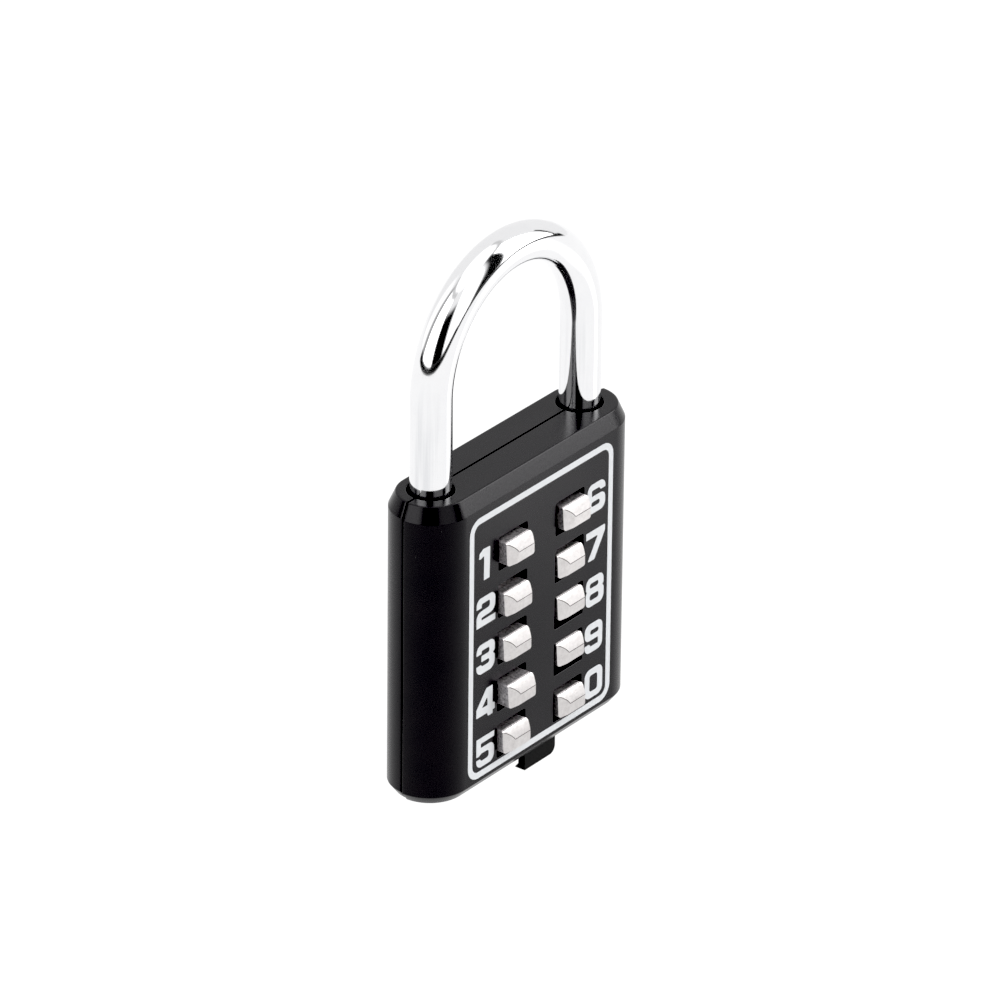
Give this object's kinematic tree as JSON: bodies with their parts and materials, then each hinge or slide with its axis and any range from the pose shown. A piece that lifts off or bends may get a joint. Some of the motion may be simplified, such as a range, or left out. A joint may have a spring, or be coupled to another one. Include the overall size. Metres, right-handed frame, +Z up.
{
  "type": "push-button padlock",
  "caption": "Small black case padlock with a round steel shackle, two columns of numbered push-buttons and a pull tab underneath that releases the shackle.",
  "frame": {"origin": "bottom centre of the whole object's bounding box at rest, locked: under the pull tab", "axes": "+Z up along the shackle's legs, -Y out of the front face with the buttons, +X to the right seen from the front"},
  "size_m": [0.0466, 0.0146, 0.0839],
  "materials": {
    "case_paint": "satin black paint on die-cast metal",
    "shackle_chrome": "polished chrome plating",
    "button_nickel": "satin nickel plating, finely grained",
    "tab_plastic": "satin black moulded plastic",
    "inner_steel": "plain bright steel",
    "rivet_steel": "blackened steel",
    "spring_steel": "drawn spring wire",
    "white_print": "screen-printed white ink on the front face"
  },
  "bodies": {
    "case": {"front_case": "case_paint", "rear_case": "case_paint", "stem_guide_plate": "inner_steel", "heel_stop_pin": "inner_steel", "case_rivet_1": "rivet_steel", "case_rivet_2": "rivet_steel", "case_rivet_3": "rivet_steel", "button_spring_1": "spring_steel", "button_spring_2": "spring_steel", "button_spring_3": "spring_steel", "button_spring_4": "spring_steel", "button_spring_5": "spring_steel", "button_spring_6": "spring_steel", "button_spring_7": "spring_steel", "button_spring_8": "spring_steel", "button_spring_9": "spring_steel", "button_spring_0": "spring_steel", "latch_spring": "spring_steel", "gate_spring": "spring_steel", "shackle_spring": "spring_steel"},
    "shackle": {"shackle": "shackle_chrome"},
    "gate_slider": {"gate_plate": "inner_steel", "release_tab": "tab_plastic"},
    "latch": {"toe_latch": "inner_steel"},
    "button_1": {"button_1": "button_nickel"},
    "button_2": {"button_2": "button_nickel"},
    "button_3": {"button_3": "button_nickel"},
    "button_4": {"button_4": "button_nickel"},
    "button_5": {"button_5": "button_nickel"},
    "button_6": {"button_6": "button_nickel"},
    "button_7": {"button_7": "button_nickel"},
    "button_8": {"button_8": "button_nickel"},
    "button_9": {"button_9": "button_nickel"},
    "button_0": {"button_0": "button_nickel"}
  },
  "joints": [
    {"name": "shackle_lift", "type": "slide", "parent": "case", "child": "shackle", "axis": [0, 0, 1], "range_m": [0, 0.009], "deforming": ["shackle_spring"]},
    {"name": "tab_pull", "type": "slide", "parent": "case", "child": "gate_slider", "axis": [0, 0, -1], "range_m": [0, 0.003], "stiffness_N_per_m": 500, "springref_m": -0.002, "deforming": ["gate_spring"]},
    {"name": "latch_retract", "type": "slide", "parent": "case", "child": "latch", "axis": [-1, 0, 0], "range_m": [0, 0.0037], "deforming": ["latch_spring"]},
    {"name": "button_1_press", "type": "slide", "parent": "case", "child": "button_1", "axis": [0, 1, 0], "range_m": [0, 0.002], "stiffness_N_per_m": 300, "springref_m": -0.002, "deforming": ["button_spring_1"]},
    {"name": "button_2_press", "type": "slide", "parent": "case", "child": "button_2", "axis": [0, 1, 0], "range_m": [0, 0.002], "stiffness_N_per_m": 300, "springref_m": -0.002, "deforming": ["button_spring_2"]},
    {"name": "button_3_press", "type": "slide", "parent": "case", "child": "button_3", "axis": [0, 1, 0], "range_m": [0, 0.002], "stiffness_N_per_m": 300, "springref_m": -0.002, "deforming": ["button_spring_3"]},
    {"name": "button_4_press", "type": "slide", "parent": "case", "child": "button_4", "axis": [0, 1, 0], "range_m": [0, 0.002], "stiffness_N_per_m": 300, "springref_m": -0.002, "deforming": ["button_spring_4"]},
    {"name": "button_5_press", "type": "slide", "parent": "case", "child": "button_5", "axis": [0, 1, 0], "range_m": [0, 0.002], "stiffness_N_per_m": 300, "springref_m": -0.002, "deforming": ["button_spring_5"]},
    {"name": "button_6_press", "type": "slide", "parent": "case", "child": "button_6", "axis": [0, 1, 0], "range_m": [0, 0.002], "stiffness_N_per_m": 300, "springref_m": -0.002, "deforming": ["button_spring_6"]},
    {"name": "button_7_press", "type": "slide", "parent": "case", "child": "button_7", "axis": [0, 1, 0], "range_m": [0, 0.002], "stiffness_N_per_m": 300, "springref_m": -0.002, "deforming": ["button_spring_7"]},
    {"name": "button_8_press", "type": "slide", "parent": "case", "child": "button_8", "axis": [0, 1, 0], "range_m": [0, 0.002], "stiffness_N_per_m": 300, "springref_m": -0.002, "deforming": ["button_spring_8"]},
    {"name": "button_9_press", "type": "slide", "parent": "case", "child": "button_9", "axis": [0, 1, 0], "range_m": [0, 0.002], "stiffness_N_per_m": 300, "springref_m": -0.002, "deforming": ["button_spring_9"]},
    {"name": "button_0_press", "type": "slide", "parent": "case", "child": "button_0", "axis": [0, 1, 0], "range_m": [0, 0.002], "stiffness_N_per_m": 300, "springref_m": -0.002, "deforming": ["button_spring_0"]}
  ],
  "couplings": [
    {"joint": "tab_pull", "follows": "shackle_lift", "ratio": 0.3333},
    {"joint": "latch_retract", "follows": "shackle_lift", "ratio": 0.4}
  ]
}
